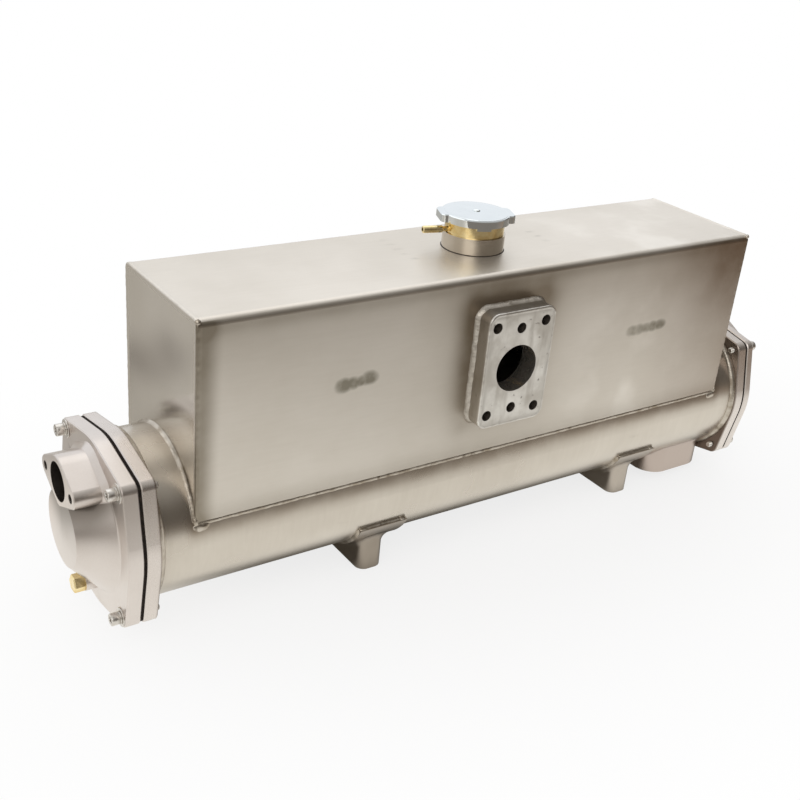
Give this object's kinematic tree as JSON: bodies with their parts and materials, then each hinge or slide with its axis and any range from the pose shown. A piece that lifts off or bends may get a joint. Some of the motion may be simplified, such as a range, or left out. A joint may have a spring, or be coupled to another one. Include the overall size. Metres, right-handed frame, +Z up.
{
  "type": "shell and tube heat exchanger with header tank",
  "caption": "Horizontal shell and tube heat exchanger with bolted end covers, oval nozzles, a welded box header tank, flanged side port, filler neck with pressure cap and block feet.",
  "frame": {"origin": "on the floor under the shell's axis, midway between the two feet", "axes": "+X along the shell towards the end with the outlet block, -Y out of the flanged side port, +Z up"},
  "size_m": [0.7674, 0.1634, 0.318],
  "materials": {
    "stainless": "satin bead-blasted stainless sheet and pipe",
    "machined_stainless": "ground stainless pad",
    "cast_stainless": "blasted casting",
    "gasket": "dark fibre gasket",
    "tube_metal": "drawn copper alloy",
    "brass": "turned brass",
    "chrome": "bright chrome plate"
  },
  "bodies": {
    "exchanger": {"drain_plug_left": "brass", "drain_plug_right": "brass", "end_cover_left": "cast_stainless", "end_cover_right": "cast_stainless", "filler_collar": "stainless", "filler_neck": "brass", "foot_left": "stainless", "foot_right": "stainless", "gasket_left": "gasket", "gasket_right": "gasket", "outlet_block": "stainless", "overflow_spout": "brass", "saddle_plate_left": "stainless", "saddle_plate_right": "stainless", "shell_flange_left": "stainless", "shell_flange_right": "stainless", "shell_tube": "stainless", "side_port_flange": "machined_stainless", "tank_end_left": "stainless", "tank_end_right": "stainless", "tank_wrapper": "stainless", "tube_bundle": "tube_metal", "tube_sheet_left": "tube_metal", "tube_sheet_right": "tube_metal"},
    "cap": {"pressure_cap": "chrome"}
  },
  "joints": [
    {"name": "cap_turn", "type": "hinge", "parent": "exchanger", "child": "cap", "pos_m": [-0.04245, 0, 0.31492], "axis": [0, 0, 1], "range_deg": [0, 70]}
  ]
}
